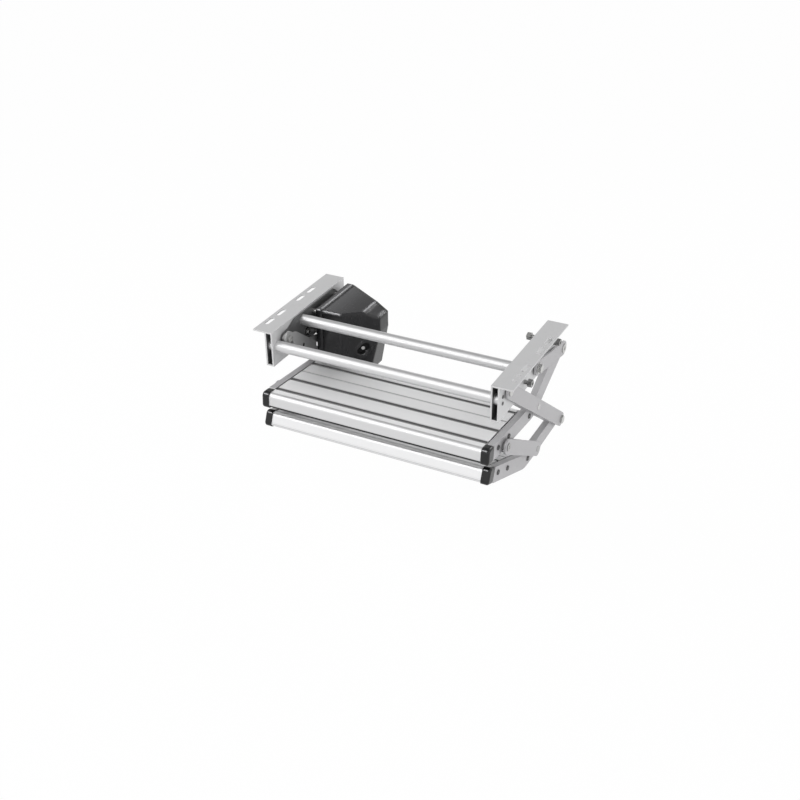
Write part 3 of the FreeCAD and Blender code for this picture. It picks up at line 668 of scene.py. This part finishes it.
def thread(centre: Span, start: float, end: float, radius: float, pitch: float) -> bmesh.types.BMesh:
    """Screw thread on a bolt's end, as one ridge wound about an axis across the width.

    THREAD_PROFILE is the ridge's section, as shares of the pitch along the axis and out from it.

    Args:
        centre: The axis's (y, z).
        start: X where the thread starts.
        end: X where it ends.
        radius: Radius of the bare shank.
        pitch: Distance between turns.

    Returns:
        The bmesh.
    """
    shape = bmesh.new()
    turns = max(1, round(abs(end - start) / pitch))
    verts = [shape.verts.new((start + along * pitch, centre[0] + radius + out * pitch, centre[1]))
             for along, out in THREAD_PROFILE]
    face = shape.faces.new(verts)
    rise = math.copysign(pitch / THREAD_STEPS, end - start)
    bmesh.ops.spin(shape, geom=[face] + list(face.edges) + verts, cent=(0.0, centre[0], centre[1]),
                   axis=Vector(WIDTHWAYS), dvec=(rise, 0.0, 0.0), angle=2.0 * math.pi * turns,
                   steps=THREAD_STEPS * turns, use_merge=False, use_duplicate=False)
    return shape


def mirrored_pair(make: Callable[[], bmesh.types.BMesh]) -> list[tuple[float, bmesh.types.BMesh]]:
    """Right-hand shape and its left-hand twin.

    Args:
        make: Function that returns the right-hand bmesh.

    Returns:
        Side, as 1 or -1, and bmesh.
    """
    pair = []
    for side in (1.0, -1.0):
        shape = make()
        if side < 0:
            bmesh.ops.transform(shape, matrix=Matrix.Diagonal((-1.0, 1.0, 1.0, 1.0)), verts=shape.verts[:])
        pair.append((side, shape))
    return pair


RAIL = RailFinish("satin_extrusion", (0.62, 0.62, 0.625), 0.50, Grain.DEEP, 0.7 * MM, 0.003 * MM, 0.05, 0.08,
                  metallic=0.45, hollow=(220.9 * MM, 231.1 * MM), hollow_heights=(-67.1 * MM, -2.9 * MM))
TUBE = MetalFinish("drawn_tube", (0.62, 0.62, 0.625), 0.34, Grain.ACROSS, 0.45 * MM, 0.0008 * MM, 0.05, 0.06,
                   metallic=0.75, rough_spread=0.05)
LINK = MetalFinish("coated_sheet", (0.46, 0.455, 0.465), 0.48, Grain.NONE, 0.6 * MM, 0.004 * MM, 0.06, 0.10,
                   metallic=0.3)
PLATED = MetalFinish("zinc_plate", (0.52, 0.52, 0.51), 0.24, Grain.NONE, 0.8 * MM, 0.004 * MM, 0.20, 0.25,
                     stain_colour=(0.42, 0.41, 0.37), edge_radius=0.4 * MM)
# The bolts' high edge_light paints their edges bright: painted highlight as well as wear.
BOLT = MetalFinish("bolt_zinc", (0.33, 0.33, 0.325), 0.20, Grain.NONE, 0.8 * MM, 0.004 * MM, 0.24, 0.25,
                   edge_radius=0.5 * MM, edge_light=1.2)
SCREW = MetalFinish("dark_screw", (0.14, 0.14, 0.14), 0.36, Grain.NONE, 0.6 * MM, 0.003 * MM, 0.20, 0.20,
                    edge_radius=0.3 * MM)
DRIVE = MetalFinish("drive_steel", (0.42, 0.42, 0.42), 0.42, Grain.NONE, 0.8 * MM, 0.006 * MM, 0.14, 0.20,
                    metallic=0.7, edge_radius=0.4 * MM)
# Painted highlight along the caps' front top edge.
CAP = PlasticFinish("cap_gloss_black", (0.004, 0.004, 0.0045), 0.14, 0.5 * MM, 0.002 * MM, 3.5 * MM,
                    specular=0.38, dust=0.02, glints=(((0.0, -0.707, 0.707), 0.006),),
                    glint_share=0.6)
# Painted sheen on the housing's top faces and painted highlights along two of its edges.
HOUSING = PlasticFinish("housing_charcoal", (0.010, 0.010, 0.011), 0.24, 0.6 * MM, 0.003 * MM, 10.0 * MM,
                        specular=0.42, dust=0.03, sheen=(0.065, 0.065, 0.068),
                        glints=(((0.29, 0.0, 0.957), 0.010), ((0.0, -0.707, 0.707), 0.030)))
COATED = PlasticFinish("plate_black_coat", (0.075, 0.075, 0.076), 0.32, 0.7 * MM, 0.010 * MM, 0.5 * MM)
BUSH = PlasticFinish("bush_grey", (0.10, 0.10, 0.10), 0.40, 0.4 * MM, 0.006 * MM, 0.4 * MM)


@dataclass
class Mounting:
    """Rails, cross tubes, pivots and stop bolts that stay with the vehicle."""

    shop: Shop
    nodes: dict[str, bpy.types.Object]
    shank_radius: float = 4.0 * MM
    thread_pitch: float = 1.25 * MM
    inner_face: float = 218.0 * MM
    front_thread: Span = (6.2 * MM, 7.8 * MM)
    rear_thread: Span = (6.5 * MM, 25.0 * MM)

    def stop_centre(self, node: str) -> Span:
        """Axis of the stop bolts in a node, from the node's box.

        Args:
            node: The node's name.

        Returns:
            (y, z) of the axis.
        """
        low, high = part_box(node)
        return (low[1] + high[1]) / 2.0, (low[2] + high[2]) / 2.0

    def build(self) -> None:
        """Make the threads on the ends of the stop bolts."""
        front = self.stop_centre("front_stop_bolts")
        rear = self.stop_centre("right_rear_stop_bolt")
        inner = self.inner_face
        near, far = (inner - reach for reach in self.front_thread)
        for side, shape in mirrored_pair(lambda: thread(front, near, far, self.shank_radius,
                                                        self.thread_pitch)):
            name = "front_stop_thread_" + ("right" if side > 0 else "left")
            self.shop.piece(shape, name, "frame", "fastener_steel", BOLT)
        start, end = (inner - reach for reach in self.rear_thread)
        long_thread = thread(rear, start, end, self.shank_radius, self.thread_pitch)
        self.shop.piece(long_thread, "rear_stop_thread", "frame", "fastener_steel", BOLT)

    def dress(self) -> None:
        """Give the nodes their finishes."""
        self.shop.dress(self.nodes, RAIL, ("left_rail", "right_rail"))
        self.shop.dress(self.nodes, TUBE, ("front_cross_tube", "rear_cross_tube"))
        self.shop.dress(self.nodes, SCREW, ("tube_screws",))
        self.shop.dress(self.nodes, BUSH, ("rail_bushes",))
        self.shop.dress(self.nodes, PLATED, ("stay_bolts", "motor_spacers"))
        self.shop.dress(self.nodes, BOLT, ("front_stop_bolts", "right_rear_stop_bolt",
                                           "left_rear_stop_bolt"))


@dataclass
class Drive:
    """Motor housing on the left rail and the linkage that turns the left arm."""

    shop: Shop
    nodes: dict[str, bpy.types.Object]
    recess_facing: Triple = (26.0, -35.0, 0.0)
    recess_rise: float = 5.4 * MM

    def dress(self) -> None:
        """Give the nodes their finishes."""
        # The cover's screw recess is painted dark: painted shade.
        low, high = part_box("cover_screw")
        facing = Vector(self.recess_facing).normalized()
        mouth = (Vector(low) + Vector(high)) / 2.0 + facing * self.recess_rise
        cover = replace(HOUSING, name="housing_cover_charcoal", pit=tuple(mouth),
                        pit_facing=tuple(facing))
        self.shop.dress(self.nodes, HOUSING, ("housing_base",))
        self.shop.dress(self.nodes, cover, ("housing_cover",))
        self.shop.dress(self.nodes, COATED, ("motor_plate",))
        self.shop.dress(self.nodes, PLATED, ("cover_screw",))
        self.shop.dress(self.nodes, BOLT, ("lever_pin",))
        self.shop.dress(self.nodes, DRIVE, ("gear_motor", "drive_crank", "drive_rod",
                                            "drive_lever"))


@dataclass
class SideLinks:
    """Arms, stays and lower links on both sides with their pins."""

    shop: Shop
    nodes: dict[str, bpy.types.Object]

    def dress(self) -> None:
        """Give the nodes their finishes."""
        self.shop.dress(self.nodes, LINK, ("left_arm", "right_arm", "left_stay", "right_stay",
                                           "left_lower_link", "right_lower_link"))
        self.shop.dress(self.nodes, PLATED, ("left_arm_shaft", "right_arm_shaft", "arm_pins",
                                             "stay_pins"))
        self.shop.dress(self.nodes, BOLT, ("link_pins", "step_pins"))


@dataclass
class Step:
    """One step: tread section, side plates, end caps, rear bar and screws.

    Each groove shade band is its depth, half its width and how dark it is, 0 to 1; the bands are painted
    shade along the grooves.
    """

    shop: Shop
    nodes: dict[str, bpy.types.Object]
    name: str
    front: Span
    pitch: float
    nose_colour_and_painted_light: Colour
    nose_reach: float
    matt_painted_light_edge: float
    painted_shadow_height: float
    grooves: Sequence[Span] = ((22.9 * MM, 29.1 * MM), (72.9 * MM, 79.1 * MM),
                               (154.4 * MM, 160.6 * MM))
    deck_end: float = 214.3 * MM
    groove_shade_bands: Sequence[Triple] = ((28.9 * MM, 3.6 * MM, 1.0), (79.1 * MM, 3.6 * MM, 1.0),
                                 (118.0 * MM, 1.8 * MM, 0.6), (159.4 * MM, 3.6 * MM, 1.0))

    def dress(self) -> None:
        """Give the nodes their finishes."""
        tread = TreadFinish(self.name + "_tread_brushed", (0.84, 0.84, 0.845), 0.58, Grain.ACROSS,
                            0.35 * MM, 0.004 * MM, 0.08, 0.05, metallic=0.15, front=self.front,
                            pitch=self.pitch, grooves=self.grooves, deck_end=self.deck_end,
                            groove_shade_bands=self.groove_shade_bands, painted_shadow_height=self.painted_shadow_height, nose_colour_and_painted_light=self.nose_colour_and_painted_light,
                            nose_reach=self.nose_reach,
                            matt_painted_light_edge=self.matt_painted_light_edge)
        self.shop.dress(self.nodes, tread, (self.name + "_tread",))
        self.shop.dress(self.nodes, LINK, (self.name + "_right_plate", self.name + "_left_plate"))
        self.shop.dress(self.nodes, CAP, (self.name + "_right_cap", self.name + "_left_cap"))
        self.shop.dress(self.nodes, TUBE, (self.name + "_rear_bar",))
        self.shop.dress(self.nodes, SCREW, (self.name + "_screws",))


@dataclass
class Studio:
    """Pale floor, soft light and the camera."""

    floor_level: float = -0.42
    floor_reach: float = 9.0
    floor_tone: float = 0.86
    floor_white: float = 0.975
    surroundings: float = 0.84
    eye: Triple = (0.8597, -1.5800, 0.9878)
    azimuth: float = 27.272
    elevation: float = 30.838
    roll: float = -0.710
    focal_pixels: float = 1165.07
    image_pixels: float = 800.0
    sensor_width: float = 36.0

    def backdrop_material(self, name: str, tone: float, share: float) -> bpy.types.Material:
        """Floor material that looks near white to the camera and keeps a shadow.

        Args:
            name: The material's name.
            tone: Diffuse colour.
            share: Share of plain white that the camera and the gloss see.

        Returns:
            The material.
        """
        graph = SurfaceGraph(name)
        grain = graph.noise(0.02, detail=4.0)
        matt = graph.tint(grain, (tone,) * 3, (tone * 0.985,) * 3)
        graph.finish({"Base Color": matt}, {"Roughness": 0.9, "Specular IOR Level": 0.1})
        glow = graph.node("ShaderNodeEmission", {}, {"Color": WHITE, "Strength": 1.0})
        sockets = {0: graph.plain_sight() * share, 1: graph.surface.outputs[0], 2: glow.outputs[0]}
        mixed = graph.node("ShaderNodeMixShader", {}, sockets)
        graph.tree.links.new(mixed.outputs[0], graph.output.inputs["Surface"])
        return graph.owner

    def floor(self) -> None:
        """Round plain floor below the step."""
        shape = bmesh.new()
        bmesh.ops.create_circle(shape, cap_ends=True, radius=self.floor_reach, segments=96,
                                matrix=Matrix.Translation((0.0, 0.0, self.floor_level)))
        mesh = bpy.data.meshes.new("floor")
        shape.to_mesh(mesh)
        shape.free()
        mesh.materials.append(self.backdrop_material("floor_white", self.floor_tone, self.floor_white))
        floor = bpy.data.objects.new("floor", mesh)
        bpy.context.scene.collection.objects.link(floor)

    def world(self, level: float) -> None:
        """Pale surroundings with a darker ceiling, white to the camera.

        Args:
            level: Strength for light that falls on the object.
        """
        world = bpy.data.worlds.new("studio")
        bpy.context.scene.world = world
        graph = Graph(world)
        rise = graph.along(UPWARD)
        back = graph.along(BACKWARD)
        ceiling = rise.ramp(0.50, 0.85)
        low = rise.ramp(0.30, 0.05) * back.ramp(-0.2, 0.5)
        front = back.ramp(-0.45, -0.75) * rise.ramp(0.02, 0.12) * rise.ramp(0.55, 0.35)
        behind = back.ramp(0.10, 0.45) * rise.ramp(0.20, 0.40) * graph.along(WIDTHWAYS).ramp(0.10, -0.20)
        tone = 1.0 - ceiling * 0.30 - low * 0.35 - behind * 0.45 + front * 0.25
        camera = Value(graph, graph.node("ShaderNodeLightPath", {}, {}).outputs["Is Camera Ray"])
        light = graph.node("ShaderNodeBackground", {}, {"Color": WHITE, "Strength": tone * level})
        sockets = {"Color": WHITE, "Strength": tone.largest(camera)}
        plain = graph.node("ShaderNodeBackground", {}, sockets)
        sockets = {0: graph.plain_sight(), 1: light.outputs[0], 2: plain.outputs[0]}
        mixed = graph.node("ShaderNodeMixShader", {}, sockets)
        graph.node("ShaderNodeOutputWorld", {}, {"Surface": mixed.outputs[0]})

    def lamp(self, name: str, place: Triple, aim: Triple, size: Span, power: float) -> None:
        """Rectangular soft light.

        Args:
            name: Its name.
            place: Where it is.
            aim: What it points at.
            size: Width and height.
            power: Power in watts.
        """
        data = bpy.data.lights.new(name, "AREA")
        data.shape = "RECTANGLE"
        data.size, data.size_y = size
        data.energy = power
        lamp = bpy.data.objects.new(name, data)
        lamp.location = place
        lamp.rotation_euler = (Vector(aim) - Vector(place)).to_track_quat("-Z", "Y").to_euler()
        bpy.context.scene.collection.objects.link(lamp)

    def camera(self) -> None:
        """Camera at the photograph's place, angle and focal length."""
        turn = math.radians(self.azimuth)
        lift = math.radians(self.elevation)
        tip = math.radians(self.roll)
        ahead = Vector((-math.sin(turn) * math.cos(lift), math.cos(turn) * math.cos(lift), -math.sin(lift)))
        right = ahead.cross(Vector((0.0, 0.0, 1.0))).normalized()
        above = right.cross(ahead).normalized()
        across = right * math.cos(tip) + above * math.sin(tip)
        upward = above * math.cos(tip) - right * math.sin(tip)
        data = bpy.data.cameras.new("camera")
        data.sensor_fit = "HORIZONTAL"
        data.sensor_width = self.sensor_width
        data.lens = self.sensor_width * self.focal_pixels / self.image_pixels
        camera = bpy.data.objects.new("camera", data)
        rotation = Matrix((across, upward, -ahead)).transposed()
        camera.matrix_world = Matrix.Translation(Vector(self.eye)) @ rotation.to_4x4()
        bpy.context.scene.collection.objects.link(camera)
        bpy.context.scene.camera = camera

    def build(self) -> None:
        """Set up everything round the step. A lamp is named by its place, aim, size and power."""
        bpy.context.scene.view_settings.view_transform = "Standard"
        self.camera()
        self.floor()
        self.world(self.surroundings)
        self.lamp("soft_box", (-0.75, -0.95, 1.75), (0.0, 0.05, -0.05), (2.4, 0.80), 9.0)
        self.lamp("strip", (-0.95, -1.60, 1.07), (0.0, 0.05, -0.03), (2.4, 0.10), 6.2)
        self.lamp("left_fill", (-1.9, -0.5, 0.9), (0.0, 0.1, -0.1), (1.2, 1.2), 9.0)
        self.lamp("right_box", (2.3, -0.1, 0.6), (0.1, 0.1, -0.1), (1.6, 1.4), 7.5)
        self.lamp("edge_light", (0.90, 1.80, 0.85), (-0.1, 0.1, -0.05), (0.60, 0.60), 5.0)


def main() -> None:
    """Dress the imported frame, add the small hardware and set up the studio."""
    logging.basicConfig(level=logging.INFO, format="%(message)s")
    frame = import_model()
    nodes = frame["nodes"]
    shop = Shop()
    mounting = Mounting(shop, nodes)
    mounting.build()
    mounting.dress()
    Drive(shop, nodes).dress()
    SideLinks(shop, nodes).dress()
    # Both treads are one section; their noses get different tones, paler on the lower step, so part of each
    # tone is painted light and shade.
    Step(shop, nodes, "upper", front=(-28.0 * MM, -113.05 * MM), pitch=5.0, nose_colour_and_painted_light=(0.62, 0.62, 0.625),
         nose_reach=7.5 * MM, matt_painted_light_edge=0.0, painted_shadow_height=-24.0 * MM).dress()
    Step(shop, nodes, "lower", front=(-17.5 * MM, -156.2 * MM), pitch=22.3, nose_colour_and_painted_light=(0.72, 0.72, 0.725),
         nose_reach=22.0 * MM, matt_painted_light_edge=1.0, painted_shadow_height=-60.0 * MM).dress()
    Studio().build()
    LOG.info("%d new pieces", shop.count)


if __name__ == "__main__":
    main()
